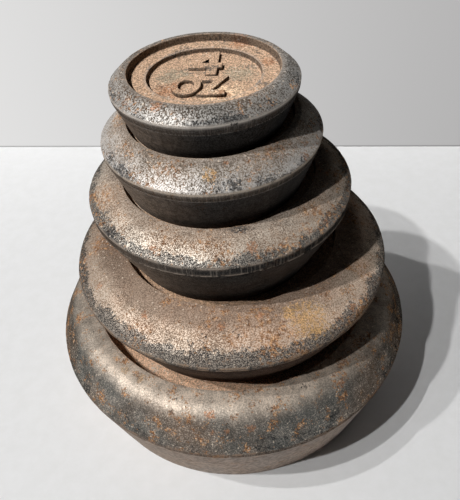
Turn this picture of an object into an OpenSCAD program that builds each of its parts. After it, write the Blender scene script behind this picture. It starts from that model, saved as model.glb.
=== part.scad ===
// Nested stack of five round cast iron scale weights, 4 oz to 4 lb.
// Millimetres, +Z up, origin at the centre of the 4 lb weight's base.
// Every weight is one casting: a body that tapers to its base, a narrow band at
// its widest, a sloping shoulder, and a stepped recess that takes the next weight's base.
// A cavity in each underside holds a lead plug that trims the mass.

/* [4 oz weight] */
// Largest radius, at the top of the band
oz4_radius = 22.2; // [21:0.1:24]
// Height from base to crest
oz4_height = 13.4; // [12:0.1:16]
// Height of the band
oz4_band = 1.4; // [0.8:0.1:2.2]
// Rise of the shoulder above the band
oz4_dome = 2.7; // [1.6:0.1:4]
// Width of the rim, from the band in to the recess
oz4_rim = 4.6; // [3.4:0.1:6]
// Width of the flat crest beside the recess
oz4_crest = 0.8; // [0.5:0.1:1.6]
// Radius of the round from the crest down to the sloping shoulder
oz4_round = 1.9; // [1:0.1:4]
// Rounding of the edge between shoulder and band
oz4_edge = 0.35; // [0.2:0.05:0.6]
// Depth of the recess down to its ledge
oz4_recess = 1.8; // [1.2:0.1:2.6]
// Width of the ledge
oz4_ledge = 4.1; // [3:0.1:5.5]
// Depth of the pan inside the ledge
oz4_pan = 1.1; // [0.6:0.1:1.6]
// Play all round between the base and the recess below
oz4_play = 1.7; // [0.6:0.1:2.4]
// Share of that play by which the weight stands off centre, along X
oz4_off = -0.35; // [-0.8:0.05:0.8]
// Radius of the adjusting cavity's mouth
oz4_hole = 6; // [4:0.1:7]
// Depth of the adjusting cavity
oz4_hole_depth = 6; // [4.5:0.1:7]
// Thickness of the lead in the cavity
oz4_lead = 5.6; // [3:0.1:6]

/* [8 oz weight] */
// Largest radius, at the top of the band
oz8_radius = 27.3; // [26:0.1:29]
// Height from base to crest
oz8_height = 18; // [16:0.1:21]
// Height of the band
oz8_band = 1.3; // [0.8:0.1:2.2]
// Rise of the shoulder above the band
oz8_dome = 4.7; // [3:0.1:6]
// Width of the rim, from the band in to the recess
oz8_rim = 7; // [6:0.1:8]
// Width of the flat crest beside the recess
oz8_crest = 0.9; // [0.5:0.1:2]
// Radius of the round from the crest down to the sloping shoulder
oz8_round = 1.6; // [1:0.1:5]
// Rounding of the edge between shoulder and band
oz8_edge = 0.5; // [0.2:0.05:0.8]
// Depth of the recess down to its ledge
oz8_recess = 2.1; // [1.4:0.1:3]
// Width of the ledge
oz8_ledge = 4.6; // [3.6:0.1:6]
// Depth of the pan inside the ledge
oz8_pan = 1.2; // [0.6:0.1:1.8]
// Play all round between the base and the recess below
oz8_play = 1.9; // [0.6:0.1:2.6]
// Share of that play by which the weight stands off centre, along X
oz8_off = -0.5; // [-0.8:0.05:0.8]
// Radius of the adjusting cavity's mouth
oz8_hole = 7; // [5:0.1:9]
// Depth of the adjusting cavity
oz8_hole_depth = 11; // [7:0.1:12.5]
// Thickness of the lead in the cavity
oz8_lead = 5.5; // [2.5:0.1:6]

/* [1 lb weight] */
// Largest radius, at the top of the band
lb1_radius = 34.3; // [33:0.1:36]
// Height from base to crest
lb1_height = 24; // [21:0.1:27]
// Height of the band
lb1_band = 2.8; // [1.6:0.1:3.6]
// Rise of the shoulder above the band
lb1_dome = 3.7; // [2.6:0.1:5]
// Width of the rim, from the band in to the recess
lb1_rim = 9.3; // [8.2:0.1:10.4]
// Width of the flat crest beside the recess
lb1_crest = 2.3; // [1:0.1:4]
// Radius of the round from the crest down to the sloping shoulder
lb1_round = 5; // [2:0.1:7]
// Rounding of the edge between shoulder and band
lb1_edge = 0.4; // [0.2:0.05:1]
// Depth of the recess down to its ledge
lb1_recess = 2; // [1.4:0.1:3.2]
// Width of the ledge
lb1_ledge = 5.6; // [4.4:0.1:7]
// Depth of the pan inside the ledge
lb1_pan = 1.3; // [0.6:0.1:2]
// Play all round between the base and the recess below
lb1_play = 3.6; // [1.5:0.1:4.4]
// Share of that play by which the weight stands off centre, along X
lb1_off = -0.45; // [-0.8:0.05:0.8]
// Radius of the adjusting cavity's mouth
lb1_hole = 9.5; // [6:0.1:12]
// Depth of the adjusting cavity
lb1_hole_depth = 15; // [9:0.1:17]
// Thickness of the lead in the cavity
lb1_lead = 3.2; // [3:0.1:8]

/* [2 lb weight] */
// Largest radius, at the top of the band
lb2_radius = 44.1; // [42:0.1:46]
// Height from base to crest
lb2_height = 25.1; // [22:0.1:28]
// Height of the band
lb2_band = 3.2; // [2:0.1:4.4]
// Rise of the shoulder above the band
lb2_dome = 4.6; // [3:0.1:6]
// Width of the rim, from the band in to the recess
lb2_rim = 14.3; // [12.6:0.1:15.2]
// Width of the flat crest beside the recess
lb2_crest = 3.5; // [2:0.1:6]
// Radius of the round from the crest down to the sloping shoulder
lb2_round = 9; // [4:0.1:11]
// Rounding of the edge between shoulder and band
lb2_edge = 3.2; // [1:0.1:3.6]
// Depth of the recess down to its ledge
lb2_recess = 2.8; // [2:0.1:4]
// Width of the ledge
lb2_ledge = 6.8; // [5.8:0.1:8.5]
// Depth of the pan inside the ledge
lb2_pan = 1.5; // [0.8:0.1:2.4]
// Play all round between the base and the recess below
lb2_play = 4.8; // [2:0.1:6]
// Share of that play by which the weight stands off centre, along X
lb2_off = 0.15; // [-0.8:0.05:0.8]
// Radius of the adjusting cavity's mouth
lb2_hole = 15; // [9:0.5:18]
// Depth of the adjusting cavity
lb2_hole_depth = 16; // [9:0.1:17]
// Thickness of the lead in the cavity
lb2_lead = 15.4; // [4:0.1:15.6]

/* [4 lb weight] */
// Largest radius, at the top of the band
lb4_radius = 53.2; // [51:0.1:56]
// Height from base to crest
lb4_height = 34.5; // [31:0.1:38]
// Height of the band
lb4_band = 1.8; // [1:0.1:3]
// Rise of the shoulder above the band
lb4_dome = 10.4; // [8:0.1:12]
// Width of the rim, from the band in to the recess
lb4_rim = 12.4; // [11:0.1:14]
// Width of the flat crest beside the recess
lb4_crest = 3.2; // [1.5:0.1:5]
// Radius of the round from the crest down to the sloping shoulder
lb4_round = 6; // [3:0.1:8]
// Rounding of the edge between shoulder and band
lb4_edge = 1; // [0.4:0.1:1.6]
// Depth of the recess down to its ledge
lb4_recess = 4.8; // [3.4:0.1:6]
// Width of the ledge
lb4_ledge = 10; // [9:0.1:12]
// Depth of the pan inside the ledge
lb4_pan = 1.6; // [0.8:0.1:2.4]
// Radius of the base
lb4_base = 47; // [44:0.1:49]
// Radius of the adjusting cavity's mouth
lb4_hole = 14; // [9:0.5:20]
// Depth of the adjusting cavity
lb4_hole_depth = 18; // [9:0.1:20]
// Thickness of the lead in the cavity
lb4_lead = 17.4; // [4:0.1:17.6]

/* [Casting] */
// Inward lean of the band, so that it leaves the mould
band_lean = 0.15; // [0.05:0.05:0.3]
// Inward lean of the recess and pan walls, per millimetre of depth
wall_lean = 0.12; // [0.05:0.01:0.2]
// Rounding of the base edge
foot_round = 0.7; // [0.3:0.1:1]
// Rounding of the band's lower edge
band_round = 0.45; // [0.2:0.05:0.7]
// Rounding of the recess mouth
mouth_round = 0.45; // [0.2:0.05:0.5]
// Rounding inside and outside the ledge
ledge_round = 0.3; // [0.1:0.05:0.4]

/* [Lead plugs] */
// Outward lean of the cavity wall, per millimetre of depth, which holds the lead in
key_lean = 0.08; // [0.04:0.01:0.12]
// Depth of the lead's face behind the base
lead_inset = 0.4; // [0.2:0.1:0.8]

/* [Hidden] */

$fn = 96;
shoulder_steps = 8;
round_steps = 4;
iron = [0.23, 0.20, 0.18];
lead = [0.45, 0.46, 0.48];

// Radius of a weight's recess at its ledge
function recess_floor_r(radius, rim, recess) = radius - rim - wall_lean * recess;

// Each base fits the recess below it, less the play
lb2_base = recess_floor_r(lb4_radius, lb4_rim, lb4_recess) - lb2_play;
lb1_base = recess_floor_r(lb2_radius, lb2_rim, lb2_recess) - lb1_play;
oz8_base = recess_floor_r(lb1_radius, lb1_rim, lb1_recess) - oz8_play;
oz4_base = recess_floor_r(oz8_radius, oz8_rim, oz8_recess) - oz4_play;

// Each weight stands on the ledge of the one below, a little off its centre
lb2_place = [lb2_off * lb2_play, 0, lb4_height - lb4_recess];
lb1_place = lb2_place + [lb1_off * lb1_play, 0, lb2_height - lb2_recess];
oz8_place = lb1_place + [oz8_off * oz8_play, 0, lb1_height - lb1_recess];
oz4_place = oz8_place + [oz4_off * oz4_play, 0, oz8_height - oz8_recess];

function unit(v) = v / norm(v);
function bearing(v) = atan2(v.y, v.x);

// Points round the corner at, between the points before and after, with radius r
function corner(before, at, after, r) =
    let (
        u = unit(before - at),
        v = unit(after - at),
        half = acos(u * v) / 2,
        centre = at + unit(u + v) * r / sin(half),
        from = bearing(at + u * r / tan(half) - centre),
        to = bearing(at + v * r / tan(half) - centre),
        sweep = (to - from + 540) % 360 - 180
    )
    [for (i = [0:round_steps])
        let (a = from + sweep * i / round_steps)
        centre + r * [cos(a), sin(a)]];

// Slope of a shoulder whose width and rise start with a round of radius r at the crest
function shoulder_slope(width, rise, r) =
    2 * atan(rise / (width + sqrt(width * width + rise * rise - 2 * r * rise)));

// The round at the head of the shoulder, from its straight slope up to the flat crest
function shoulder_round(radius, crest_r, height, rise, r) =
    let (slope = shoulder_slope(radius - crest_r, rise, r))
    [for (i = [0:shoulder_steps])
        let (a = slope * (1 - i / shoulder_steps))
        [crest_r + r * sin(a), height - r * (1 - cos(a))]];

// Half section of a weight, from the top of its cavity round to the centre of its pan
function section(
    radius, height, base, band, dome, rim, crest, round_r, edge_r, recess, ledge, pan, hole, hole_depth
) =
    let (
        band_top = height - dome,
        mouth_r = radius - rim,
        ledge_z = height - recess,
        ledge_r = recess_floor_r(radius, rim, recess),
        pan_r = ledge_r - ledge,
        pan_z = ledge_z - pan,
        roof = [hole + key_lean * hole_depth, hole_depth],
        hole_edge = [hole, 0],
        foot = [base, 0],
        band_foot = [radius - band_lean, band_top - band],
        band_edge = [radius, band_top],
        shoulder = shoulder_round(radius, mouth_r + crest, height, dome, round_r),
        crest_edge = [mouth_r + crest, height],
        mouth = [mouth_r, height],
        recess_foot = [ledge_r, ledge_z],
        ledge_edge = [pan_r, ledge_z],
        pan_foot = [pan_r - wall_lean * pan, pan_z],
        pan_centre = [0, pan_z]
    )
    concat(
        [[0, hole_depth], roof, hole_edge],
        corner(hole_edge, foot, band_foot, foot_round),
        corner(foot, band_foot, band_edge, band_round),
        corner(band_foot, band_edge, shoulder[0], edge_r),
        shoulder,
        corner(crest_edge, mouth, recess_foot, mouth_round),
        corner(mouth, recess_foot, ledge_edge, ledge_round),
        corner(recess_foot, ledge_edge, pan_foot, ledge_round),
        corner(ledge_edge, pan_foot, pan_centre, ledge_round),
        [pan_centre]
    );

// Lead cast into the cavity: it fills the undercut from just behind the base
module lead_plug(hole, thickness) {
    color(lead)
        rotate_extrude()
            polygon([
                [0, lead_inset],
                [hole + key_lean * lead_inset, lead_inset],
                [hole + key_lean * (lead_inset + thickness), lead_inset + thickness],
                [0, lead_inset + thickness]
            ]);
}

module weight_4lb() {
    color(iron)
        rotate_extrude()
            polygon(section(
                lb4_radius, lb4_height, lb4_base, lb4_band, lb4_dome, lb4_rim, lb4_crest,
                lb4_round, lb4_edge, lb4_recess, lb4_ledge, lb4_pan, lb4_hole, lb4_hole_depth
            ));
}

module plug_4lb() {
    lead_plug(lb4_hole, lb4_lead);
}

module weight_2lb() {
    color(iron)
        translate(lb2_place)
            rotate_extrude()
                polygon(section(
                    lb2_radius, lb2_height, lb2_base, lb2_band, lb2_dome, lb2_rim, lb2_crest,
                    lb2_round, lb2_edge, lb2_recess, lb2_ledge, lb2_pan, lb2_hole, lb2_hole_depth
                ));
}

module plug_2lb() {
    translate(lb2_place)
        lead_plug(lb2_hole, lb2_lead);
}

module weight_1lb() {
    color(iron)
        translate(lb1_place)
            rotate_extrude()
                polygon(section(
                    lb1_radius, lb1_height, lb1_base, lb1_band, lb1_dome, lb1_rim, lb1_crest,
                    lb1_round, lb1_edge, lb1_recess, lb1_ledge, lb1_pan, lb1_hole, lb1_hole_depth
                ));
}

module plug_1lb() {
    translate(lb1_place)
        lead_plug(lb1_hole, lb1_lead);
}

module weight_8oz() {
    color(iron)
        translate(oz8_place)
            rotate_extrude()
                polygon(section(
                    oz8_radius, oz8_height, oz8_base, oz8_band, oz8_dome, oz8_rim, oz8_crest,
                    oz8_round, oz8_edge, oz8_recess, oz8_ledge, oz8_pan, oz8_hole, oz8_hole_depth
                ));
}

module plug_8oz() {
    translate(oz8_place)
        lead_plug(oz8_hole, oz8_lead);
}

module weight_4oz() {
    color(iron)
        translate(oz4_place)
            rotate_extrude()
                polygon(section(
                    oz4_radius, oz4_height, oz4_base, oz4_band, oz4_dome, oz4_rim, oz4_crest,
                    oz4_round, oz4_edge, oz4_recess, oz4_ledge, oz4_pan, oz4_hole, oz4_hole_depth
                ));
}

module plug_4oz() {
    translate(oz4_place)
        lead_plug(oz4_hole, oz4_lead);
}

weight_4lb();
plug_4lb();
weight_2lb();
plug_2lb();
weight_1lb();
plug_1lb();
weight_8oz();
plug_8oz();
weight_4oz();
plug_4oz();
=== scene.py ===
# %% [markdown]
# # A nest of five cast iron scale weights
#
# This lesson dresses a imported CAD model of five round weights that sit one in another, from 4 lb at the
# bottom to 4 oz on top. The CAD model gives every size. Blender adds what the eye looks for in old iron:
# sand grain from the mould, rust, rubbed edges, raised marks and lead in the hollow below.
#
# Each piece made here stays at the origin, and its place is in its mesh, so it fits the frame without
# being moved.

import math
from types import SimpleNamespace

import bmesh
import bpy
from mathutils import Matrix, Vector


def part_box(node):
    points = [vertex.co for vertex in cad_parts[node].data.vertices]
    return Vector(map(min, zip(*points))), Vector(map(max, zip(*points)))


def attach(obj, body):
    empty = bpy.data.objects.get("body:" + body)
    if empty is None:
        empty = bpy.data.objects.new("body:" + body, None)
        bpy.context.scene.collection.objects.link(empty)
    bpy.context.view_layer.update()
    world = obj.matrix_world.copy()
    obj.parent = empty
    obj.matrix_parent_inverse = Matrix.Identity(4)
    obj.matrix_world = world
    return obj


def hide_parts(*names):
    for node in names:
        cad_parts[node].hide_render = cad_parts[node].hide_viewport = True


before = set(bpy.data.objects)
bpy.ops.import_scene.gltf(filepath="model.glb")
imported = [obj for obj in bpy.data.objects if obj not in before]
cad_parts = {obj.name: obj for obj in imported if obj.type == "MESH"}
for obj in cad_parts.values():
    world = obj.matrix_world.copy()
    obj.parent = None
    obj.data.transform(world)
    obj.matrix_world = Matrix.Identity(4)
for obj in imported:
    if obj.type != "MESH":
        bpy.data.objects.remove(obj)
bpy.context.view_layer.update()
MM = 0.001

# %% [markdown]
# ## The five weights
#
# From the bottom up. `step` is how far apart the rings of the finished mesh are: a big weight can have
# wider steps than the small one on top, which is nearest to the camera. `mark` is what its pan says, and
# `below` is how far its file marks run on below the band.

# %% Name the weights
WEIGHTS = {
    "4lb": dict(step=0.90 * MM, mark=["4", "LB"]),
    "2lb": dict(step=0.75 * MM, mark=["2", "LB"]),
    "1lb": dict(step=0.60 * MM, mark=["1", "LB"]),
    "8oz": dict(step=0.50 * MM, mark=["8", "OZ"], below=1.1 * MM),
    "4oz": dict(step=0.42 * MM, mark=["4", "OZ"], below=0.9 * MM),
}


def node_middle(node):
    """The x of a round node's axis. Every axis here stands at y = 0."""
    low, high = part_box(node)
    return (low[0] + high[0]) / 2


def put(title, data):
    """A new object in the scene. It stays at the origin unless something moves it."""
    made = bpy.data.objects.new(title, data)
    bpy.context.collection.objects.link(made)
    return made


for name in WEIGHTS:
    low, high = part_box("weight_" + name)
    print(name, "axis at x =", round(node_middle("weight_" + name) / MM, 2),
          "mm, top at", round(high[2] / MM, 1), "mm")

# %% [markdown]
# ## The camera
#
# The photograph looks down at the nest from close in front, so the top weight looks large beside the
# one below. Only a camera at the right distance gives that. Its place and turn were found by matching
# the rims of the five weights, and the lens follows from them.

# %% Place the camera
PITCH = math.radians(43.12)
YAW = math.radians(0.225)
ROLL = math.radians(-4.23)
CAMERA_PLACE = (0, -0.1217, 0.1595)
LENS = 40.5

forward = Vector((math.sin(YAW) * math.cos(PITCH), math.cos(YAW) * math.cos(PITCH), -math.sin(PITCH)))
level_right = Vector((math.cos(YAW), -math.sin(YAW), 0))
level_up = level_right.cross(forward)
right = level_right * math.cos(ROLL) + level_up * math.sin(ROLL)
up = level_up * math.cos(ROLL) - level_right * math.sin(ROLL)

camera = put("camera", bpy.data.cameras.new("camera"))
camera.matrix_world = Matrix((right, up, -forward)).transposed().to_4x4()
camera.location = CAMERA_PLACE
camera.data.lens = LENS
camera.data.clip_start = 0.005
bpy.context.scene.camera = camera
bpy.context.scene.view_settings.view_transform = "Standard"
print("camera", [round(v, 4) for v in camera.location], "lens, mm:", LENS)

# %% [markdown]
# ## Helpers for nodes
#
# Both materials and Geometry Nodes are trees of nodes. A few short helpers keep the rest readable:
# `add` makes a node and fills its inputs with numbers or with links, and `follow` finds the tree for it
# from what it is linked to. The others return the output socket of one common node.

# %% Helpers for nodes
def add(tree, kind, inputs=None, **settings):
    """A new node, with its settings, and its inputs linked or filled in."""
    made = tree.nodes.new(kind)
    for name, value in settings.items():
        setattr(made, name, value)
    for key, value in (inputs or {}).items():
        if isinstance(value, bpy.types.NodeSocket):
            tree.links.new(value, made.inputs[key])
        else:
            made.inputs[key].default_value = value
    return made


def follow(kind, inputs, **settings):
    """A new node in the tree of its first input that is linked."""
    tree = next(value.id_data for value in inputs.values() if isinstance(value, bpy.types.NodeSocket))
    return add(tree, kind, inputs, **settings)


def maths(operation, a, b=0.0, clamp=False):
    return follow("ShaderNodeMath", {0: a, 1: b}, operation=operation, use_clamp=clamp).outputs[0]


def times(a, b):
    return maths("MULTIPLY", a, b)


def vector_maths(operation, a, b=(0, 0, 0)):
    node = follow("ShaderNodeVectorMath", {0: a, 1: b}, operation=operation)
    return node.outputs["Value" if operation in ("DISTANCE", "DOT_PRODUCT") else "Vector"]


def scaled(vector, factor):
    node = follow("ShaderNodeVectorMath", {0: vector, "Scale": factor}, operation="SCALE")
    return node.outputs["Vector"]


def ease(value, start, end, low=0.0, high=1.0):
    """A smooth rise from low to high while the value goes from start to end."""
    inputs = {"Value": value, "From Min": start, "From Max": end, "To Min": low, "To Max": high}
    return follow("ShaderNodeMapRange", inputs, interpolation_type="SMOOTHSTEP").outputs["Result"]


def swing(value, amount):
    """A factor that swings round 1 by the amount while the value goes from 0 to 1."""
    return ease(value, 0.0, 1.0, 1 - amount, 1 + amount)


def noise(vector, scale, detail=2.0, roughness=0.5, seed=0.0):
    inputs = {"Vector": vector, "Scale": scale, "Detail": detail, "Roughness": roughness, "W": seed}
    return follow("ShaderNodeTexNoise", inputs, noise_dimensions="4D").outputs[0]


# %% Helpers for colours
def blend(mask, first, second, how="MIX"):
    """One colour where the mask is 0, the other where it is 1."""
    inputs = {0: mask, 6: first, 7: second}
    return follow("ShaderNodeMix", inputs, data_type="RGBA", blend_type=how).outputs[2]


def tinted(mask, colour, tint):
    """A colour with a plain tint over it where the mask is 1."""
    return blend(mask, colour, (*tint, 1))


def shaded(colour, factor):
    return blend(1.0, colour, factor, "MULTIPLY")


def ramp(value, stops):
    """Colours along a value from 0 to 1, from a list of (place, colour)."""
    node = follow("ShaderNodeValToRGB", {"Fac": value})
    colours = node.color_ramp.elements
    while len(colours) < len(stops):
        colours.new(0.5)
    for element, (place, colour) in zip(colours, stops):
        element.position = place
        element.color = (*colour, 1)
    return node.outputs["Color"]


# %% [markdown]
# A group is a tree that can be placed in other trees, each time with its own values. `new_group` makes an
# empty one, `use` places one in a material, and `new_material` gives a material with its tree.

# %% Helpers for groups and materials
def new_group(name, inputs, outputs, kind="ShaderNodeTree"):
    """An empty node group with named sockets. Returns the tree, its input node and its output node."""
    tree = bpy.data.node_groups.new(name, kind)
    for title, socket, value in inputs:
        made = tree.interface.new_socket(name=title, in_out="INPUT", socket_type="NodeSocket" + socket)
        if value is not None:
            made.default_value = value
    for title, socket in outputs:
        tree.interface.new_socket(name=title, in_out="OUTPUT", socket_type="NodeSocket" + socket)
    return tree, tree.nodes.new("NodeGroupInput").outputs, tree.nodes.new("NodeGroupOutput").inputs


def use(group, **inputs):
    """The outputs of a shader group that is placed in another tree."""
    return follow("ShaderNodeGroup", inputs, node_tree=group).outputs


def new_material(name):
    """A new material, its tree and its Principled BSDF."""
    material = bpy.data.materials.new(name)
    material.use_nodes = True
    return material, material.node_tree, material.node_tree.nodes["Principled BSDF"]


# %% [markdown]
# ## Effects that several finishes share
#
# ** Sand grain.** Iron was poured into a mould of packed sand, so its skin is a print of the sand: grains of about half a millimetre. Single grains are also picked for a painted glint, a bright colour that stands in for the lamps' sparkle on them.

# %% Sand grain
grain_group, inside, out = new_group(
    "sand grain",
    [("Vector", "Vector", None), ("Size", "Float", 0.0005), ("Seed", "Float", 0.0)],
    [("Height", "Float"), ("Tone", "Float"), ("Glint", "Float")],
)
fineness = maths("DIVIDE", 1.0, inside["Size"])
small = noise(inside["Vector"], fineness, 3.0, 0.6, inside["Seed"])
coarse = noise(inside["Vector"], times(fineness, 0.32), seed=inside["Seed"])
cells = follow("ShaderNodeTexVoronoi", {"Vector": inside["Vector"], "Scale": times(fineness, 0.8)})
hollow = ease(cells.outputs["Distance"], 0.0, 0.75)
height = maths("ADD", times(small, 0.62), times(coarse, 0.38))
height = maths("SUBTRACT", height, times(hollow, 0.16))
# Painted glints: a few grains are picked to be painted bright.
facets = follow("ShaderNodeTexVoronoi", {"Vector": inside["Vector"], "Scale": times(fineness, 0.42)})
pick = follow("ShaderNodeSeparateColor", {0: facets.outputs["Color"]}).outputs[0]
lucky = ease(pick, 0.88, 0.96)
core = ease(facets.outputs["Distance"], 0.44, 0.20)
grain_group.links.new(height, out["Height"])
grain_group.links.new(ease(small, 0.34, 0.66), out["Tone"])
grain_group.links.new(times(lucky, core), out["Glint"])
print("group:", grain_group.name)

# %% [markdown]
# **Patches.** Rust, dark oxide and old dust all spread in patches with a ragged border. One noise
# gives the patches and a finer one frays their borders. `Cover` says how much of the skin they take, and
# `Cloud` is the same noise without borders, for tints that come and go softly.

# %% Patches
patch_group, inside, out = new_group(
    "patches",
    [("Vector", "Vector", None), ("Size", "Float", 0.006), ("Cover", "Float", 0.5),
     ("Fray", "Float", 0.5), ("Seed", "Float", 0.0)],
    [("Mask", "Float"), ("Tone", "Float"), ("Cloud", "Float")],
)
large_scale = maths("DIVIDE", 1.0, inside["Size"])
large = noise(inside["Vector"], large_scale, seed=inside["Seed"])
fine = noise(inside["Vector"], times(large_scale, 7.0), 3.0, 0.6, maths("ADD", inside["Seed"], 5.0))
ragged = times(maths("SUBTRACT", fine, 0.5), inside["Fray"])
spread = maths("ADD", large, ragged)
level = ease(inside["Cover"], 0.0, 1.0, 0.74, 0.26)
above = maths("SUBTRACT", spread, level)
patch_group.links.new(ease(above, -0.035, 0.045), out["Mask"])
mottle = noise(inside["Vector"], times(large_scale, 4.0), 3.0, 0.65, maths("ADD", inside["Seed"], 9.0))
patch_group.links.new(ease(mottle, 0.3, 0.7), out["Tone"])
patch_group.links.new(ease(large, 0.3, 0.7), out["Cloud"])
print("group:", patch_group.name)

# %% [markdown]
# **A spot in a chosen place.** Some marks on this nest are part of its look, such as the ochre patch on
# the 2 lb weight. A spot is a cloud of flecks round a point on the casting: a noise has to be the higher
# to show, the further it is from the point. It stays on its place from every side.

# %% Spots
spot_group, inside, out = new_group(
    "spot",
    [("Vector", "Vector", None), ("Centre", "Vector", None), ("Radius", "Float", 0.003)],
    [("Mask", "Float")],
)
away = vector_maths("DISTANCE", inside["Vector"], inside["Centre"])
away = maths("DIVIDE", away, inside["Radius"])
flecks = noise(inside["Vector"], 1300.0, 4.0, 0.7)
level = maths("ADD", times(maths("POWER", away, 2.0), 0.24), 0.41)
above = maths("SUBTRACT", flecks, level)
spot_group.links.new(ease(above, -0.05, 0.07), out["Mask"])
print("group:", spot_group.name)

# %% [markdown]
# **Scratches.** A scratch is a thin line between two points. Its mask is the distance to that line: the
# nearest point on it is found by projecting, and held between the two ends.

# %% Scratches
scratch_group, inside, out = new_group(
    "scratch",
    [("Vector", "Vector", None), ("Start", "Vector", None), ("End", "Vector", None),
     ("Width", "Float", 0.0002)],
    [("Mask", "Float")],
)
run = vector_maths("SUBTRACT", inside["End"], inside["Start"])
reach = vector_maths("SUBTRACT", inside["Vector"], inside["Start"])
share = maths("DIVIDE", vector_maths("DOT_PRODUCT", reach, run),
              vector_maths("DOT_PRODUCT", run, run), clamp=True)
off = vector_maths("DISTANCE", reach, scaled(run, share))
skips = ease(noise(inside["Vector"], 1500.0), 0.35, 0.55)
line = ease(maths("DIVIDE", off, inside["Width"]), 1.0, 0.4)
scratch_group.links.new(times(line, skips), out["Mask"])
print("group:", scratch_group.name)

# %% [markdown]
# **Rust colours.** Rust is never one colour. Deep in a patch it is dark brown, in the middle orange,
# and dry and pale where it powders.

# %% Rust colours
rust_group, inside, out = new_group("rust colours", [("Tone", "Float", 0.5)], [("Colour", "Color")])
RUST_STOPS = [(0.0, (0.12, 0.06, 0.035)), (0.38, (0.34, 0.17, 0.08)), (0.68, (0.58, 0.31, 0.14)),
              (1.0, (0.70, 0.50, 0.31))]
rust_group.links.new(ramp(inside["Tone"], RUST_STOPS), out["Colour"])
print("group:", rust_group.name)

# %% [markdown]
# **File marks.** The narrow band round each weight was ground in the direction of its axis, which left
# fine upright lines. A noise that is read by the direction from the axis, and hardly by the height,
# gives lines that run up and down all the way round.

# %% File marks
line_group, inside, out = new_group(
    "file marks",
    [("Vector", "Vector", None), ("Spread", "Float", 60.0), ("Length", "Float", 60.0)],
    [("Mask", "Float")],
)
parts = follow("ShaderNodeSeparateXYZ", {0: inside["Vector"]}).outputs
flat = follow("ShaderNodeCombineXYZ", {0: parts[0], 1: parts[1]}).outputs[0]
around = scaled(vector_maths("NORMALIZE", flat), inside["Spread"])
along = follow("ShaderNodeCombineXYZ", {2: times(parts[2], inside["Length"])}).outputs[0]
lines = noise(vector_maths("ADD", around, along), 1.0, 3.0, 0.7)
line_group.links.new(ease(lines, 0.36, 0.66), out["Mask"])
print("group:", line_group.name)

# %% [markdown]
# ## The finish of cast iron
#
# The finish of each weight starts from bare iron with its grain, lays patina, oxide and rust over it, and
# ends with what handling did: rubbed edges and bright grains. The mesh carries masks for its recess,
# band, wall and edges, made with the shape below, so each effect can stay where it belongs.
#
# Each step is a function of its own. All of them read the same skin: where a point is, which way it
# faces from the axis, its noises and its masks.

# %% Read the skin
TONES = {
    "rust": (0.48, 0.25, 0.14),
    "ochre": (0.68, 0.44, 0.21),
    "tan": (0.62, 0.46, 0.31),
    "black": (0.06, 0.06, 0.06),
    "sand": (0.95, 0.72, 0.50),
    "olive": (0.46, 0.385, 0.28),
    # glint and bright are painted glints: colours in place of sparkles of the lamps.
    "glint": (0.92, 0.80, 0.66),
    "bright": (0.90, 0.88, 0.84),
}


def read_skin(tree, name, look):
    """What every step of the finish reads: places, directions, noises and the masks of the mesh."""
    place = add(tree, "ShaderNodeTexCoord").outputs["Object"]
    middle = node_middle("weight_" + name)
    centred = follow("ShaderNodeMapping", {"Vector": place, "Location": (-middle, 0, 0)}).outputs[0]
    outward = vector_maths("NORMALIZE", vector_maths("MULTIPLY", centred, (1, 1, 0)))
    grain = use(grain_group, Vector=place, Size=look["grain"], Seed=look["seed"])

    def patches(size, cover, fray, number):
        return use(patch_group, Vector=place, Size=size, Cover=cover, Fray=fray,
                   Seed=look["seed"] + number)

    skin = SimpleNamespace(place=place, centred=centred, outward=outward, grain=grain, patches=patches)
    for part in ("wall", "band", "recess", "edge", "shoulder"):
        setattr(skin, part, add(tree, "ShaderNodeAttribute", attribute_name=part).outputs["Fac"])
    skin.top = maths("SUBTRACT", 1.0, skin.wall)
    # Painted light: a mask of the side that faces the lamps on the left.
    skin.leftward = ease(vector_maths("DOT_PRODUCT", outward, (-1, 0, 0)), 0.0, 0.9)
    skin.speckle = ease(grain["Tone"], 0.0, 1.0, 0.5, 1.35)
    skin.patina = patches(0.012, 0.5, 0.45, 0)
    skin.stain = patches(0.005, 0.5, 0.5, 10)
    skin.rust = patches(0.0036, look["rust"], 0.8, 40)
    return skin


# %% [markdown]
# Iron as the mould left it is brown here and grey there. Hands have rubbed the tops of its grains to
# steel, most of all near the lower edge of the shoulder.

# %% Bare iron
def bare_iron(skin, look):
    """The colour of the grained iron, with a lighter crown that is partly a painted highlight, and where
    its crests are rubbed.
    """
    iron = tinted(times(skin.patina["Cloud"], look["patina"]), (*look["ground"], 1), look["brown"])
    # The crown near the mouth goes lighter: rubbed by the weight above, and partly a painted highlight.
    iron = tinted(ease(skin.shoulder, 0.45, 0.0, 0.0, look["crown"]), iron, look["steel"])
    iron = shaded(iron, swing(skin.stain["Cloud"], look["stain"]))
    iron = shaded(iron, swing(skin.grain["Tone"], look["grainy"]))
    handled = maths("ADD", times(skin.shoulder, look["handled"]),
                    ease(skin.stain["Cloud"], 0.0, 1.0, look["rub"] - 0.1, look["rub"] + 0.1))
    crests = ease(maths("ADD", skin.grain["Tone"], handled), 0.65, 1.50)
    return tinted(crests, iron, look["steel"]), crests
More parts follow.
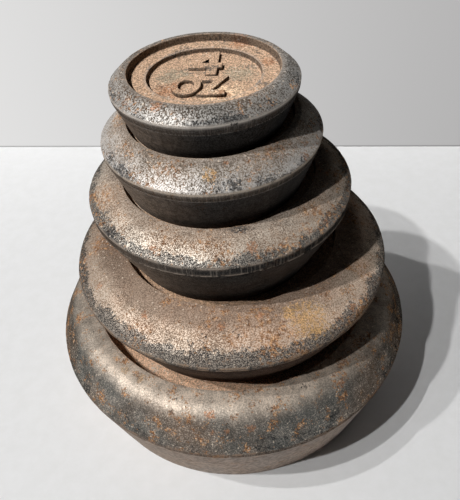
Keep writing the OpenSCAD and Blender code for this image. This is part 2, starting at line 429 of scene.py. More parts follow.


# %% [markdown]
# Black oxide sits in the pits by the lower edge. Dirt gathers at the mouth, where the weight above stands.
# The side of each weight that faces away from the front is painted darker: painted shade.

# %% Oxide, dirt and painted shade on one side
def darkened(skin, look, iron):
    """The iron with its dark parts and its painted shade, and the mask of the dirt at the mouth."""
    low_edge = maths("POWER", skin.shoulder, 2.5)
    oxide = skin.patches(0.0045, times(low_edge, look["oxide"]), 0.8, 20)["Mask"]
    pits = ease(skin.grain["Tone"], 0.85, 0.25, 0.45, 0.95)
    iron = tinted(times(oxide, pits), iron, TONES["black"])
    mouth = times(times(ease(skin.shoulder, 0.28, 0.0), skin.top), look["mouth"])
    dirt = shaded((*look["sooty"], 1), swing(skin.grain["Tone"], 0.4))
    iron = blend(mouth, iron, dirt)
    streaks = use(line_group, Vector=skin.centred, Spread=look["streaks"], Length=25.0)["Mask"]
    iron = shaded(iron, ease(streaks, 0.0, 1.0, 1.0 - look["streaked"], 1.0))
    # Painted shade: the side that faces away from this way is painted darker.
    towards = vector_maths("DOT_PRODUCT", skin.outward, look["worn_side"])
    worn = ease(towards, *look["worn"], look["far"], 1.0)
    outside = maths("SUBTRACT", 1.0, skin.recess)
    return blend(outside, iron, shaded(iron, worn)), mouth


# %% [markdown]
# Rust lies in patches and in small flecks. In the recess it is mixed with pale dust.

# %% Rust and dust
def rusted(skin, look, iron):
    """The iron under its rust, and the mask of the rust."""
    floor_rust = skin.patches(0.005, look["recess"], 0.7, 60)["Mask"]
    mask = maths("MAXIMUM", times(skin.rust["Mask"], look["rusty"]),
                 times(skin.recess, times(floor_rust, 0.75)))
    cover = times(skin.patina["Cloud"], look["flecks"])
    flecks = skin.patches(look["fleck"], cover, 0.7, 50)["Mask"]
    mask = maths("MAXIMUM", mask, times(times(flecks, skin.top), look["rusty"]))
    colour = use(rust_group, Tone=skin.rust["Tone"])["Colour"]
    colour = tinted(times(skin.recess, 0.7), colour, look["dust"])
    return blend(mask, iron, shaded(colour, skin.speckle)), mask


# %% [markdown]
# Then come the spots and scratches that have a place of their own, and painted glints: single grains
# painted bright in place of sparkles of the lamps.

# %% Spots, scratches and glints
SCRATCH_WIDTH = 0.22 * MM


def marked(skin, look, iron, spots, scratches):
    for tone, radius, centre in spots:
        spot = use(spot_group, Vector=skin.place, Centre=Vector(centre) * MM, Radius=radius * MM)["Mask"]
        iron = blend(times(spot, 0.8), iron, shaded((*TONES[tone], 1), skin.speckle))
    for start, end in scratches:
        scratch = use(scratch_group, Vector=skin.place, Start=Vector(start) * MM,
                      End=Vector(end) * MM, Width=SCRATCH_WIDTH)["Mask"]
        iron = tinted(times(scratch, 0.8), iron, TONES["tan"])
    # Painted glints: single grains painted bright.
    glints = times(skin.grain["Glint"], times(skin.top, look["glint"]))
    return tinted(glints, iron, TONES["glint"])


# %% [markdown]
# The band has its file marks, the sharp edges are rubbed in places and partly carry a painted highlight,
# and the wall below is dark. Band and wall are painted lighter on their left: painted light. What stands
# steep in the recess, such as the sides of the raised marks, is painted darker: painted shade.

# %% Band, edges and wall
def banded_and_walled(skin, look, iron):
    """The iron with its band, edges and wall, and the mask of its rubbed edges, which also carry a painted
    highlight.
    """
    lines = use(line_group, Vector=skin.centred, Spread=look["lines"], Length=90.0)["Mask"]
    dark_line, pale_line = look["band"]
    lined = tinted(ease(lines, 0.4, 1.1), (*dark_line, 1), pale_line)
    # Painted light: the band is painted lighter on its left, towards the lamps.
    lined = tinted(times(skin.leftward, 0.6), lined, look["wall_left"])
    iron = blend(times(skin.band, look["banded"]), iron, lined)
    # Rubbed edges: lighter from wear, and partly a painted highlight.
    rubbed = skin.patches(0.003, look["rubbed"], 0.6, 80)["Mask"]
    rubbed = times(times(rubbed, skin.edge), skin.top)
    iron = tinted(rubbed, iron, look["edge"])
    rusty = maths("MAXIMUM", skin.rust["Mask"], times(skin.patina["Cloud"], 0.5))
    soot = tinted(rusty, (*look["wall"], 1), look["wall_rust"])
    # Painted light: the wall is painted lighter on its left, towards the lamps.
    soot = tinted(skin.leftward, soot, look["wall_left"])
    soot = shaded(soot, swing(skin.stain["Tone"], 0.28))
    iron = blend(times(skin.wall, 0.93), iron, soot)
    # Painted shade: faces that stand steep in the recess are painted darker.
    normal = add(skin.place.id_data, "ShaderNodeNewGeometry").outputs["Normal"]
    upright = follow("ShaderNodeSeparateXYZ", {0: normal}).outputs[2]
    steep = times(ease(upright, 0.93, 0.55), skin.recess)
    return tinted(times(steep, 0.7), iron, look["wall"]), rubbed


# %% [markdown]
# The colour is done. Rubbed crests and edges shine as metal, while rust and dirt are dull and rough.

# %% Cast iron
def cast_iron(name, look, spots, scratches):
    """The finish of one weight: its material, from the numbers of its look, its spots and scratches."""
    material, tree, shader = new_material("iron_" + name)
    skin = read_skin(tree, name, look)
    iron, crests = bare_iron(skin, look)
    iron, mouth = darkened(skin, look, iron)
    iron, rust = rusted(skin, look, iron)
    iron = marked(skin, look, iron, spots, scratches)
    iron, rubbed = banded_and_walled(skin, look, iron)

    polish = times(crests, ease(skin.shoulder, 0.0, 0.9, look["upper"], 1.0))
    metal = maths("ADD", times(polish, look["metal"]), look["bare"])
    metal = maths("SUBTRACT", metal, times(maths("MAXIMUM", rust, mouth), 0.5))
    wall_metal = times(skin.wall, look["wall_metal"])
    metal = maths("ADD", times(metal, skin.top), wall_metal, clamp=True)
    metal = maths("MAXIMUM", metal, times(maths("MAXIMUM", skin.band, rubbed), 0.7))
    rough = maths("ADD", look["rough"], times(rust, 0.2))
    smooth = maths("MAXIMUM", times(rubbed, 0.15), times(skin.shoulder, look["polish"]))
    rough = maths("SUBTRACT", rough, smooth, clamp=True)
    bump = follow("ShaderNodeBump",
               {"Height": skin.grain["Height"], "Distance": look["depth"], "Strength": 1.0})
    for socket, value in (("Base Color", iron), ("Metallic", metal), ("Roughness", rough),
                          ("Normal", bump.outputs["Normal"])):
        tree.links.new(value, shader.inputs[socket])
    shader.inputs["Specular IOR Level"].default_value = 0.0
    shader.inputs["Diffuse Roughness"].default_value = 1.0
    shader.inputs["Specular Tint"].default_value = (0.12, 0.12, 0.12, 1)
    return material


# %% [markdown]
# ### Numbers for each weight
#
# The five castings have aged in their own way. The top one is rubbed bright near its front edge, partly as
# a painted highlight, the next two are coarse and dark at the edges, the 2 lb one is brown with ochre
# rust, and the lowest is smoother and blue grey.

# %% Looks
USUAL = dict(
    # The grain of the skin, how it shines, and the share of its painted glints.
    seed=0.0, grain=0.27 * MM, grainy=0.50, depth=0.12 * MM, rough=0.58, polish=0.08, metal=0.58,
    bare=0.08, glint=0.7,
    # Grey iron, its brown patina, its rubbed crests, and a lighter crown by the mouth that is partly a
    # painted highlight.
    ground=(0.32, 0.275, 0.235), brown=(0.34, 0.24, 0.17), patina=0.9, stain=0.2,
    steel=(0.62, 0.575, 0.53), rub=0.24, crown=0.0, handled=0.42, upper=0.4,
    # Oxide by the lower edge, dirt at the mouth, upright streaks, and painted shade on the side away from
    # the front.
    oxide=0.45, mouth=0.45, sooty=(0.26, 0.20, 0.155), streaks=30.0, streaked=0.08, far=0.85,
    worn_side=(-0.2, -0.98, 0), worn=(-0.3, 0.6),
    # Rust in patches and flecks, and dust in the recess.
    rust=0.15, rusty=0.85, fleck=1.0 * MM, flecks=0.42, dust=(0.66, 0.485, 0.35), recess=0.68,
    # Rubbed edges with their partly painted highlight, the filed band, and the wall below it, both painted
    # lighter on the left.
    rubbed=0.75, edge=(0.50, 0.42, 0.34), banded=0.92, lines=90.0,
    band=((0.022, 0.022, 0.023), (0.18, 0.16, 0.145)), wall=(0.030, 0.029, 0.029),
    wall_rust=(0.055, 0.043, 0.037), wall_left=(0.17, 0.13, 0.10), wall_metal=0.5,
)


def look(**changes):
    """A look that differs from ordinary iron by what is named."""
    return {**USUAL, **changes}


LOOKS = {
    "4oz": look(
        seed=1.0, grain=0.34 * MM, grainy=0.56, depth=0.125 * MM, metal=0.42,
        ground=(0.245, 0.225, 0.20), brown=(0.28, 0.21, 0.155), steel=(0.56, 0.54, 0.51), handled=0.44,
        oxide=0.5, mouth=0.8, far=0.82, rust=0.12, flecks=0.38, dust=(0.93, 0.66, 0.46), recess=0.74,
        edge=(0.62, 0.56, 0.50), band=((0.035, 0.03, 0.027), (0.12, 0.10, 0.085)),
        wall=(0.018, 0.018, 0.019), wall_rust=(0.028, 0.026, 0.024), wall_left=(0.15, 0.115, 0.09),
    ),
    "8oz": look(
        seed=2.0, grainy=0.46, metal=0.40, ground=(0.43, 0.38, 0.325), brown=(0.47, 0.355, 0.26),
        steel=(0.68, 0.65, 0.62), handled=0.46, band=((0.045, 0.036, 0.03), (0.16, 0.125, 0.095)),
    ),
    "1lb": look(
        seed=3.0, ground=(0.55, 0.445, 0.355), brown=(0.60, 0.395, 0.26), steel=(0.76, 0.70, 0.61),
        handled=0.38, upper=0.6, oxide=0.85, far=0.58, flecks=0.5, rubbed=0.55,
        edge=(0.36, 0.30, 0.25), band=((0.018, 0.018, 0.019), (0.13, 0.115, 0.10)),
    ),
    "2lb": look(
        seed=4.0, grainy=0.42, metal=0.42,
        ground=(0.60, 0.465, 0.35), brown=(0.64, 0.385, 0.24), steel=(0.84, 0.74, 0.63), crown=0.1,
        handled=0.28, upper=0.8, oxide=1.25, mouth=0.75, sooty=(0.34, 0.235, 0.17), far=0.56,
        worn_side=(0.3, -0.95, 0), rust=0.20, flecks=0.54, dust=(0.55, 0.385, 0.26), rubbed=0.5,
        edge=(0.38, 0.27, 0.19), banded=0.7, band=((0.045, 0.042, 0.042), (0.16, 0.125, 0.10)),
        wall=(0.075, 0.052, 0.042), wall_rust=(0.12, 0.075, 0.052), wall_left=(0.16, 0.11, 0.08),
    ),
    "4lb": look(
        seed=5.0, grainy=0.28, depth=0.08 * MM, rough=0.60, polish=0.0, metal=0.2, bare=0.70,
        ground=(0.20, 0.20, 0.185), brown=(0.26, 0.195, 0.15), stain=0.18, steel=(0.80, 0.69, 0.575),
        rub=0.10, crown=0.85, handled=0.0, upper=1.0, oxide=0.4, mouth=0.1, sooty=(0.45, 0.31, 0.21),
        streaks=14.0, streaked=0.12, far=0.64, worn_side=(0, -1, 0), worn=(0.1, 0.95),
        rust=0.30, fleck=2.4 * MM, flecks=0.36, dust=(0.80, 0.54, 0.36), rubbed=0.4,
        edge=(0.36, 0.25, 0.18), banded=0.5, band=((0.14, 0.10, 0.08), (0.32, 0.24, 0.19)),
        wall=(0.47, 0.41, 0.37), wall_rust=(0.53, 0.41, 0.33), wall_left=(0.42, 0.35, 0.30),
        wall_metal=0.9,
    ),
}
print("numbers in a look:", len(USUAL))

# %% [markdown]
# Spots give their kind, radius and centre, and scratches their two ends, all in millimetres.

# %% Spots and scratches
SPOTS = {
    "4oz": [("sand", 6.5, (2.0, -9.0, 100.4)), ("olive", 5.5, (6.0, 0.5, 100.4)),
            ("olive", 5.5, (-9.5, 1.5, 100.4)),
            ("rust", 4.5, (-10.9, -5.8, 100.4)), ("rust", 3.6, (6.9, 14.3, 101.5)),
            ("rust", 2.4, (1.5, -9.5, 100.4)), ("rust", 3.0, (12.5, 3.0, 101.5)),
            ("rust", 1.6, (-19.6, -11.9, 102.4)), ("rust", 1.8, (-12.5, -16.5, 103.2))],
    "8oz": [("ochre", 2.6, (-2.8, -24.7, 90.9)), ("rust", 1.2, (0.9, -22.5, 91.8)),
            ("rust", 1.3, (-12.3, -21.6, 91.3)), ("rust", 1.8, (19.1, -16.8, 88.4)),
            ("black", 2.5, (-22.9, -16.7, 88.4)), ("black", 2.6, (2.7, -26.2, 88.8))],
    "1lb": [("rust", 1.6, (23.7, -22.2, 73.9)), ("rust", 1.5, (19.1, -26.0, 74.2)),
            ("rust", 2.2, (5.2, -30.9, 75.0)), ("rust", 1.8, (-17.2, -28.2, 74.4)),
            ("tan", 0.9, (11.4, -31.8, 72.7)), ("tan", 1.0, (13.7, -30.7, 72.9)),
            ("black", 3.2, (-28.1, -20.0, 73.2)), ("black", 2.4, (2.8, -25.8, 76.0))],
    "2lb": [("rust", 1.6, (-22.1, -30.0, 54.3)), ("rust", 1.8, (-3.1, -35.9, 54.6)),
            ("rust", 1.9, (-35.4, -17.8, 53.3)), ("rust", 1.5, (-41.1, -6.0, 52.1)),
            ("rust", 1.2, (6.4, -33.6, 54.8)), ("ochre", 7.0, (18.4, -35.0, 53.9)),
            ("ochre", 2.6, (13.7, -33.2, 54.6)), ("ochre", 2.6, (20.0, -37.5, 52.2)),
            ("rust", 1.8, (30.1, -30.8, 51.8)), ("tan", 1.1, (33.9, -24.9, 52.7))],
    "4lb": [("tan", 1.8, (-30.1, -31.9, 34.5)), ("tan", 1.8, (-25.9, -34.9, 34.5)),
            ("rust", 2.0, (-7.8, -46.8, 33.5)), ("rust", 1.5, (-7.6, -50.3, 30.1)),
            ("rust", 1.5, (-3.9, -50.5, 30.3)), ("rust", 1.7, (2.2, -50.3, 30.8)),
            # The bright spots are painted glints.
            ("bright", 0.45, (10.9, -46.5, 33.3)), ("bright", 0.5, (10.0, -48.5, 31.8)),
            ("bright", 0.35, (13.2, -48.4, 31.0)), ("bright", 0.5, (7.8, -50.9, 28.9)),
            ("rust", 1.4, (40.6, -32.9, 27.2)), ("rust", 1.8, (26.8, -40.1, 33.0))],
}
SCRATCHES = {
    "1lb": [((13.0, -27.1, 75.5), (18.3, -25.1, 75.0))],
    "2lb": [((32.9, -21.7, 53.9), (31.5, -29.1, 52.0))],
    "4lb": [((15.9, -47.3, 31.4), (18.9, -48.4, 28.0))],
}
IRON = {name: cast_iron(name, LOOKS[name], SPOTS[name], SCRATCHES.get(name, [])) for name in WEIGHTS}
print("iron finishes:", [material.name for material in IRON.values()])

# %% [markdown]
# ## Lead
#
# Each weight was cast a little light. Lead was poured or hammered into a hole below until the weight was
# true, so the lead is soft, dull, and dented by the hammer.

# %% Lead
def lead_finish():
    material, tree, shader = new_material("hammered_lead")
    place = add(tree, "ShaderNodeTexCoord").outputs["Object"]
    dents = follow("ShaderNodeTexVoronoi", {"Vector": place, "Scale": 420.0, "Smoothness": 0.6},
                feature="SMOOTH_F1").outputs["Distance"]
    bloom = use(patch_group, Vector=place, Size=0.005, Cover=0.5, Fray=0.7, Seed=9.0)
    lead = blend(bloom["Tone"], (0.20, 0.205, 0.22, 1), (0.34, 0.345, 0.355, 1))
    lead = tinted(times(bloom["Mask"], 0.6), lead, (0.47, 0.47, 0.46))
    bump = follow("ShaderNodeBump", {"Height": dents, "Distance": 0.25 * MM})
    tree.links.new(lead, shader.inputs["Base Color"])
    metal = maths("SUBTRACT", 0.85, times(bloom["Mask"], 0.5))
    tree.links.new(metal, shader.inputs["Metallic"])
    tree.links.new(ease(bloom["Tone"], 0.0, 1.0, 0.5, 0.66), shader.inputs["Roughness"])
    tree.links.new(bump.outputs["Normal"], shader.inputs["Normal"])
    return material


LEAD = lead_finish()
print("finish:", LEAD.name)

# %% [markdown]
# ## The shape of a casting: one outline, turned
#
# A round casting is one half outline turned about its axis. The outline is read from the CAD node, so it
# can't drift from the frame: its vertices that lie straight out from the axis along +X, walked in order
# from the recess, over the shoulder, down the band and the leaning wall, and into the hole below.

# %% Read a half outline
SAME = 1e-7  # metres: numbers closer than this are equal


def half_outline(node):
    """The (r, z) points of a round node, from its axis on top to its axis below."""
    middle = node_middle(node)
    shell = bmesh.new()
    shell.from_mesh(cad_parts[node].data)
    bmesh.ops.remove_doubles(shell, verts=shell.verts, dist=SAME)
    seam = {v for v in shell.verts if abs(v.co.y) < SAME and v.co.x > middle}
    beside = {v: [e.other_vert(v) for e in v.link_edges if e.other_vert(v) in seam] for v in seam}
    ends = [v for v in seam if len(beside[v]) == 1]
    walked = [max(ends, key=lambda v: v.co.z)]
    while True:
        onward = [v for v in beside[walked[-1]] if v not in walked[-2:]]
        if not onward:
            break
        walked.append(onward[0])
    points = [Vector((v.co.x - middle, v.co.z)) for v in walked]
    shell.free()
    return [Vector((0, points[0].y)), *points, Vector((0, points[-1].y))]


outline = half_outline("weight_4lb")
print("4 lb outline:", len(outline), "points, widest", round(max(p.x for p in outline) / MM, 1), "mm")

# %% [markdown]
# The CAD outline has few points along its arcs. Between two of them a smooth curve is drawn through the
# neighbours, but only where the line bends gently: a corner keeps its corner. Where one piece is more
# than three times as long as the next, it is straight in the CAD too, and stays so.

# %% Draw the outline finer
GENTLE = math.radians(16)
LENGTH_RATIO = 3


def smooth_way(points, i, own):
    """The direction of the outline at point i, or its own straight direction at a corner."""
    if i == 0 or i == len(points) - 1:
        return own
    before, after = points[i] - points[i - 1], points[i + 1] - points[i]
    uneven = max(before.length, after.length) > LENGTH_RATIO * min(before.length, after.length)
    if uneven or abs(before.angle_signed(after)) > GENTLE:
        return own
    return (before.normalized() * after.length + after.normalized() * before.length).normalized()


def finer(points, step):
    """The outline with no step longer than asked, rounded where it bends gently."""
    fine = [points[0]]
    for i in range(len(points) - 1):
        a, b = points[i], points[i + 1]
        own = (b - a).normalized()
        leave, arrive = smooth_way(points, i, own), smooth_way(points, i + 1, own)
        count = max(1, math.ceil((b - a).length / step))
        for k in range(1, count + 1):
            t = k / count
            pull = (b - a).length * (leave * (t - 2 * t**2 + t**3) + arrive * (t**3 - t**2))
            fine.append(a * (1 - 3 * t**2 + 2 * t**3) + b * (3 * t**2 - 2 * t**3) + pull)
    return fine


print("4 lb outline, finer:", len(finer(outline, WEIGHTS["4lb"]["step"])), "points")

# %% [markdown]
# Each ring also learns where it lies, as numbers from 0 to 1 that the finish reads: `recess`, `band` and
# `wall` for the part of the casting, `edge` close to a sharp edge and `shoulder` in a wider strip
# along the rim's lower edge. `hold` marks what must stay true: the foot and the seat touch each other.

# %% Name the parts of an outline
EDGE_WIDTH = 0.35 * MM
SHOULDER_SHARE = 0.16  # of the radius
CLOSE = 1e-6  # metres


def falling(distance, width):
    """1 on the spot, less and less further away."""
    return math.exp(-((distance / width) ** 2))


def recess_edges(points, run, crest):
    """Where the recess has its two upper edges: at its mouth and at the ledge round the pan."""
    ledges = [i for i in range(1, crest) if abs(points[i].y - points[i - 1].y) < SAME
              and points[i].x > 1 * MM and points[i - 1].y > points[0].y + SAME]
    return [run[crest], run[ledges[0] - 1]] if ledges else [run[crest]]


def masks(points, below=0.0):
    """For each ring, its numbers for its part and edges. File marks may run on below the band."""
    run = [0.0]
    for a, b in zip(points, points[1:]):
        run.append(run[-1] + (b - a).length)
    top, low = max(p.y for p in points), min(p.y for p in points)
    crest = next(i for i, p in enumerate(points) if p.y > top - CLOSE)
    foot = next(i for i, p in enumerate(points) if p.y < low + CLOSE)
    widest = max(range(len(points)), key=lambda i: points[i].x)
    under = next(i for i in range(widest, len(points))
                 if points[i].x - points[i + 1].x > 0.2 * (points[i].y - points[i + 1].y))
    edges = [(run[widest], 1.0)] + [(run[under], 0.8)] * (below == 0)
    edges += [(place, 0.35) for place in recess_edges(points, run, crest)]
    return [dict(
        recess=float(i < crest - 1),
        band=float(widest < i and run[i] <= run[under] + below),
        wall=float(run[i] > run[under] + below),
        edge=max(strength * falling(run[i] - place, EDGE_WIDTH) for place, strength in edges),
        shoulder=falling(run[i] - run[widest], SHOULDER_SHARE * points[widest].x),
        hold=float(i >= foot - 1 or i < crest - 1),
    ) for i in range(len(points))]


fine = finer(outline, WEIGHTS["4lb"]["step"])
numbers = masks(fine)
print({key: sum(row[key] > 0.5 for row in numbers) for key in numbers[0]}, "rings over one half")

# %% [markdown]
# ### The turning, in Geometry Nodes
#
# The tree takes the outline as loose vertices with their masks. It lays out a grid of rings by steps, and
# reads for each grid row the point of the outline with that number. Each point is turned about the axis
# by its column, and the seam and the poles are merged. Then the skin is pressed inwards by a soft noise,
# because no sand casting is true, and nicked along its edges. Nothing goes outwards, so the piece stays
# inside its CAD node.

# %% Build the turning tree
MASKS = ("recess", "band", "wall", "edge", "shoulder", "hold")
turning, inside, out = new_group(
    "turned casting",
    [("Outline", "Geometry", None), ("Axis X", "Float", 0.0), ("Steps Round", "Int", 200),
     ("Unevenness", "Float", 0.0002), ("Lump Size", "Float", 0.012), ("Nick Depth", "Float", 0.0003),
     ("Nick Size", "Float", 0.0016), ("Seed", "Float", 0.0), ("Finish", "Material", None)],
    [("Casting", "Geometry")],
    "GeometryNodeTree",
)
turning.is_modifier = True
rings = follow("GeometryNodeAttributeDomainSize", {0: inside["Outline"]}).outputs["Point Count"]
grid = follow("GeometryNodeMeshGrid", {"Size X": 1.0, "Size Y": 1.0, "Vertices X": inside["Steps Round"],
                                       "Vertices Y": rings})
cell = add(turning, "GeometryNodeInputPosition").outputs[0]
cell = follow("ShaderNodeSeparateXYZ", {0: cell}).outputs
turn = times(maths("ADD", cell[0], 0.5), 2 * math.pi)
row = maths("ROUND", times(maths("ADD", cell[1], 0.5), maths("SUBTRACT", rings, 1.0)))


def read_ring(value, kind):
    """A value of the outline at this grid row."""
    node = follow("GeometryNodeSampleIndex", {"Geometry": inside["Outline"], "Index": row}, data_type=kind)
    turning.links.new(value, node.inputs["Value"])
    return node.outputs["Value"]


def stored(mask):
    return add(turning, "GeometryNodeInputNamedAttribute", {"Name": mask}, data_type="FLOAT").outputs[0]


shape = grid.outputs["Mesh"]
for mask in MASKS:
    value = read_ring(stored(mask), "FLOAT")
    shape = follow("GeometryNodeStoreNamedAttribute", {"Geometry": shape, "Name": mask, "Value": value},
                   data_type="FLOAT", domain="POINT").outputs[0]
point = read_ring(add(turning, "GeometryNodeInputPosition").outputs[0], "FLOAT_VECTOR")
point = follow("ShaderNodeSeparateXYZ", {0: point}).outputs
x = maths("ADD", times(point[0], maths("COSINE", turn)), inside["Axis X"])
y = times(point[0], maths("SINE", turn))
turned = follow("ShaderNodeCombineXYZ", {0: x, 1: y, 2: point[2]}).outputs[0]
shape = follow("GeometryNodeSetPosition", {"Geometry": shape, "Position": turned}).outputs[0]
shape = follow("GeometryNodeMergeByDistance", {"Geometry": shape, "Distance": CLOSE}).outputs[0]
shape = follow("GeometryNodeFlipFaces", {"Mesh": shape}).outputs[0]
print("turning tree so far:", len(turning.nodes), "nodes")

# %% Press the skin inwards and finish the tree
skin = add(turning, "GeometryNodeInputPosition").outputs[0]
lumps = noise(skin, maths("DIVIDE", 1.0, inside["Lump Size"]), seed=inside["Seed"])
lumps = times(ease(lumps, 0.3, 0.75), inside["Unevenness"])
lumps = times(lumps, maths("SUBTRACT", 1.0, stored("hold")))
nicks = noise(skin, maths("DIVIDE", 1.0, inside["Nick Size"]), seed=maths("ADD", inside["Seed"], 30.0))
nicks = times(times(ease(nicks, 0.50, 0.72), inside["Nick Depth"]), stored("edge"))
normal = add(turning, "GeometryNodeInputNormal").outputs[0]
inwards = scaled(normal, times(maths("ADD", lumps, nicks), -1.0))
shape = follow("GeometryNodeSetPosition", {"Geometry": shape, "Offset": inwards}).outputs[0]
shape = follow("GeometryNodeSetShadeSmooth", {"Geometry": shape}).outputs[0]
shape = follow("GeometryNodeRealizeInstances", {"Geometry": shape}).outputs[0]
shape = follow("GeometryNodeSetMaterial", {"Geometry": shape, "Material": inside["Finish"]}).outputs[0]
turning.links.new(shape, out["Casting"])
print("turning tree:", len(turning.nodes), "nodes")

# %% [markdown]
# ### Turn the five castings
#
# The modifier's inputs are set by their identifiers before the object is first evaluated. The evaluated
# result becomes a plain mesh, and the modifier goes, so the piece is a mesh like any other.

# %% Turn a piece of any outline
def turned_piece(title, points, table, settings):
    """A mesh object from an outline: the turning tree's result with the modifier taken off."""
    mesh = bpy.data.meshes.new(title)
    mesh.from_pydata([(p.x, 0, p.y) for p in points], [], [])
    for mask in MASKS:
        values = mesh.attributes.new(mask, "FLOAT", "POINT")
        values.data.foreach_set("value", [row[mask] for row in table])
    piece = put(title, mesh)
    modifier = piece.modifiers.new("turned", "NODES")
    modifier.node_group = turning
    sockets = {s.name: s.identifier for s in turning.interface.items_tree if s.in_out == "INPUT"}
    for key, value in settings.items():
        modifier[sockets[key]] = value
    depsgraph = bpy.context.evaluated_depsgraph_get()
    piece.data = bpy.data.meshes.new_from_object(piece.evaluated_get(depsgraph))
    piece.modifiers.remove(modifier)
    bpy.data.meshes.remove(mesh)
    piece.data.name = title
    shell = bmesh.new()
    shell.from_mesh(piece.data)
    open_edges = sum(not e.is_manifold for e in shell.edges)
    volume = shell.calc_volume(signed=True)
    triangles = sum(len(f.verts) - 2 for f in shell.faces)
    shell.free()
    print(f"{title}: {triangles} triangles, {open_edges} open edges, {volume * 1e6:.1f} cm3")
    return piece


# %% Turn the castings
UNEVENNESS = 0.10 * MM
NICK_DEPTH = 0.22 * MM
NICK_SIZE = 1.8 * MM
for name, weight in WEIGHTS.items():
    node = "weight_" + name
    points = finer(half_outline(node), weight["step"])
    widest = max(p.x for p in points)
    casting = turned_piece("casting_" + name, points, masks(points, weight.get("below", 0.0)), {
        "Axis X": node_middle(node),
        "Steps Round": int(2 * math.pi * widest / weight["step"]) + 1,
        "Unevenness": UNEVENNESS,
        "Lump Size": 0.5 * widest,
        "Nick Depth": NICK_DEPTH,
        "Nick Size": NICK_SIZE,
        "Seed": LOOKS[name]["seed"],
        "Finish": IRON[name],
    })
    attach(casting, "body_" + name)
    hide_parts(node)

# %% [markdown]
# ## Lead in the hole below
#
# The lead is turned in the same way from its CAD node. Its free face is dented by the hammer, so its
# unevenness is larger and its lumps are small.

# %% Turn the lead
LEAD_STEP = 0.5 * MM
KEPT_RIM = 0.6 * MM
for name in WEIGHTS:
    node = "plug_" + name
    points = finer(half_outline(node), LEAD_STEP)
    widest = max(p.x for p in points)
    blank = [{**dict.fromkeys(MASKS, 0.0), "hold": float(p.x > widest - KEPT_RIM)} for p in points]
    lead = turned_piece("lead_" + name, points, blank, {
        "Axis X": node_middle(node),
        "Steps Round": int(2 * math.pi * widest / LEAD_STEP) + 1,
        "Unevenness": 0.3 * MM,
        "Lump Size": 2.2 * MM,
        "Nick Depth": 0.0,
        "Nick Size": 1.0 * MM,
        "Seed": LOOKS[name]["seed"] + 0.5,
        "Finish": LEAD,
    })
    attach(lead, "body_" + name)
    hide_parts(node)

# %% [markdown]
# ## Raised marks in the pans
#
# Each casting says what it weighs. The marks stand up from the pan's floor, because they were pressed
# into the sand. They use Blender's own plain font, and each letter is blown up a little by a bevel, as
# cast letters are never crisp. The text becomes a mesh before it is put in its place.

# %% Shape the letters
MARK_HEIGHT = 1.0 * MM
MARK_SUNK = 0.1 * MM
MARK_TURN = math.radians(-7)
LETTER_SWELL = 0.20 * MM
LETTER_BEVEL = 0.38 * MM
CAPITAL_SHARE = 0.7  # of the font's size


def raised_letters(body, height, wide, middle, centre_y, floor):
    """A mesh of raised letters: their height, how wide they are for it, and their place on the floor."""
    text = bpy.data.curves.new(body, "FONT")
    text.body = body
    text.align_x, text.align_y = "CENTER", "CENTER"
    text.size = height / CAPITAL_SHARE
    text.offset = LETTER_SWELL
    text.bevel_depth = LETTER_BEVEL
    text.extrude = MARK_HEIGHT / 2 - LETTER_BEVEL
    text.bevel_resolution = 2
    text.resolution_u = 6
    holder = put(body, text)
    depsgraph = bpy.context.evaluated_depsgraph_get()
    mesh = bpy.data.meshes.new_from_object(holder.evaluated_get(depsgraph))
    bpy.data.objects.remove(holder)
    mesh.transform(Matrix.Diagonal((wide, 1, 1, 1)))
    high = [v.co.y for v in mesh.vertices]
    rise = Vector((0, centre_y - (max(high) + min(high)) / 2, floor + MARK_HEIGHT / 2 - MARK_SUNK))
    mesh.transform(Matrix.Translation((middle, 0, 0)) @ Matrix.Rotation(MARK_TURN, 4, "Z")
                   @ Matrix.Translation(rise))
    return mesh


# %% [markdown]
# The number stands over its unit. Their heights and places are shares of the pan's radius.

# %% Make the marks
NUMBER = dict(height=0.86, wide=0.95, aside=0.0, along=0.44)
UNIT = dict(height=0.60, wide=0.74, aside=-0.07, along=-0.41)


def pan_of(points):
    """The height of the pan's floor and its radius."""
    floor = points[0].y
    return floor, max(p.x for p in points[:6] if abs(p.y - floor) < SAME)


def raised_mark(title, lines, middle, floor, radius, finish):
    """The number over its unit, as one piece that stands on the pan's floor."""
    letters = bmesh.new()
    for body, line in zip(lines, (NUMBER, UNIT)):
        letters.from_mesh(raised_letters(body, line["height"] * radius, line["wide"],
                                         middle + line["aside"] * radius, line["along"] * radius, floor))
    bmesh.ops.remove_doubles(letters, verts=letters.verts, dist=CLOSE)
    bmesh.ops.recalc_face_normals(letters, faces=letters.faces)
    open_edges = sum(not e.is_manifold for e in letters.edges)
    volume = letters.calc_volume(signed=True)
    mesh = bpy.data.meshes.new(title)
    letters.to_mesh(mesh)
    letters.free()
    mesh.materials.append(finish)
    recess = mesh.attributes.new("recess", "FLOAT", "POINT")
    recess.data.foreach_set("value", [1.0] * len(mesh.vertices))
    print(f"{title}: {open_edges} open edges, {volume * 1e9:.1f} mm3")
    return put(title, mesh)


for name, weight in WEIGHTS.items():
    node = "weight_" + name
    floor, radius = pan_of(half_outline(node))
    mark = raised_mark("mark_" + name, weight["mark"], node_middle(node), floor, radius, IRON[name])
    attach(mark, "body_" + name)
    print(mark.name, "top", round((max(v.co.z for v in mark.data.vertices) - floor) / MM, 2), "mm high,",
          "pan radius", round(radius / MM, 1))

# %% [markdown]
# ## Table, wall and lamps
#
# The nest stands on a pale table before a pale wall. To the camera and to reflections the wall glows with
# its own tone, which is painted light. From behind neither is there, so that a look from the back or from
# below isn't blocked.

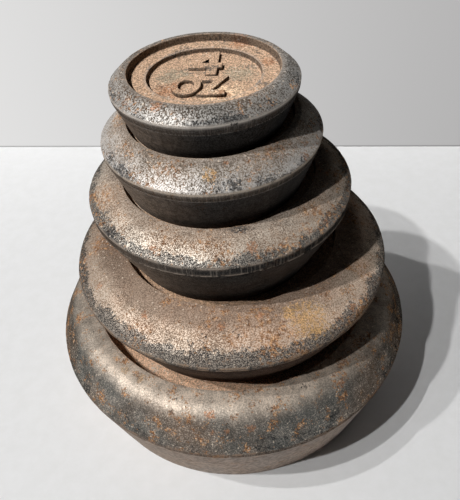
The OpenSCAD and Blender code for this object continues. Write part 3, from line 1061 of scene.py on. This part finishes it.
# %% Sheets of the stage
def one_sided(tree, front):
    """Shows the shader from the front. From behind, the sheet can't be seen."""
    back = add(tree, "ShaderNodeNewGeometry").outputs["Backfacing"]
    clear = add(tree, "ShaderNodeBsdfTransparent").outputs[0]
    both = follow("ShaderNodeMixShader", {0: back, 1: front.outputs[0], 2: clear})
    tree.links.new(both.outputs[0], tree.nodes["Material Output"].inputs["Surface"])


def flat_sheet(name, corners, material):
    mesh = bpy.data.meshes.new(name)
    mesh.from_pydata(corners, [], [tuple(range(len(corners)))])
    mesh.materials.append(material)
    put(name, mesh)


# %% Table
REACH = 2.5
table_top, tree, shader = new_material("table_top")
place = add(tree, "ShaderNodeTexCoord").outputs["Object"]
mottle = use(patch_group, Vector=place, Size=0.02, Cover=0.5, Fray=0.6, Seed=3.0)["Tone"]
pale = blend(mottle, (0.785, 0.785, 0.78, 1), (0.815, 0.815, 0.815, 1))
tree.links.new(pale, shader.inputs["Base Color"])
shader.inputs["Roughness"].default_value = 0.6
one_sided(tree, shader)
flat_sheet("table", [(-REACH, -REACH, 0), (REACH, -REACH, 0), (REACH, REACH, 0), (-REACH, REACH, 0)],
           table_top)
print("stage: table")

# %% [markdown]
# The wall's glow is painted paler on its left, as painted light from the lamps there. A thin dark line at
# its foot is the gap between wall and table.

# %% Wall
WALL_FOOT = ((-0.5, 0.195), (0.5, 0.059))
WALL_TOP = 0.12
GAP_HEIGHT = 0.0012
wall_paper, tree, shader = new_material("wall_paper")
shader.inputs["Base Color"].default_value = (0.8, 0.8, 0.8, 1)
shader.inputs["Roughness"].default_value = 0.8
place = follow("ShaderNodeSeparateXYZ", {0: add(tree, "ShaderNodeTexCoord").outputs["Object"]}).outputs
# Painted light: the glow falls off from left to right.
tone = ramp(ease(place[0], -0.17, 0.17), [(0.0, (0.78, 0.775, 0.77)), (1.0, (0.44, 0.435, 0.435))])
gap = ease(place[2], 0.0, GAP_HEIGHT, 0.5, 1.0)
shown = follow("ShaderNodeEmission", {"Color": shaded(tone, gap)})
light_path = add(tree, "ShaderNodeLightPath").outputs
seen = maths("MAXIMUM", light_path["Is Camera Ray"], light_path["Is Glossy Ray"])
seen = maths("MAXIMUM", seen, light_path["Is Transmission Ray"])
one_sided(tree, follow("ShaderNodeMixShader", {0: seen, 1: shader.outputs[0], 2: shown.outputs[0]}))
left_end, right_end = WALL_FOOT
flat_sheet("wall", [(*left_end, 0), (*right_end, 0), (*right_end, WALL_TOP), (*left_end, WALL_TOP)],
           wall_paper)
print("stage: wall")

# %% [markdown]
# Three lamps hang high on the left, a little in front, and close to each other. Each gives its own
# shadow, so the shadow of the nest has steps, and the shoulders get a long highlight on their left
# front. Their places come from the borders of those shadows. Each lamp has its place and its watts.

# %% Lamps
LAMPS = (((-0.660, -0.515, 1.2), 7.2), ((-0.745, -0.318, 1.2), 7.6), ((-0.801, -0.100, 1.2), 5.4))
LAMP_WIDTH = 0.03
for number, (spot, watts) in enumerate(LAMPS, 1):
    light = bpy.data.lights.new(f"lamp_{number}", "AREA")
    light.shape = "DISK"
    light.size = LAMP_WIDTH
    light.energy = watts
    lamp = put(light.name, light)
    lamp.location = spot
    lamp.rotation_euler = (-Vector(spot)).to_track_quat("-Z", "Y").to_euler()
print("lamps, W:", [watts for spot, watts in LAMPS])

# %% [markdown]
# The world gives the even light of the room. It is brighter low down, and towards the left and the back.

# %% Room
world = bpy.data.worlds.new("room")
world.use_nodes = True
sky = world.node_tree
way = add(sky, "ShaderNodeTexCoord").outputs["Generated"]
height = follow("ShaderNodeSeparateXYZ", {0: way}).outputs[2]
room = ramp(ease(height, 0.16, 0.30), [(0.0, (0.5, 0.505, 0.51)), (1.0, (0.025, 0.025, 0.026))])
lit_side = vector_maths("DOT_PRODUCT", way, (-0.75, 0.65, 0))
room = shaded(room, ease(lit_side, -1.0, 1.0, 0.05, 1.4))
sky.links.new(room, sky.nodes["Background"].inputs["Color"])
bpy.context.scene.world = world
print("world:", world.name)
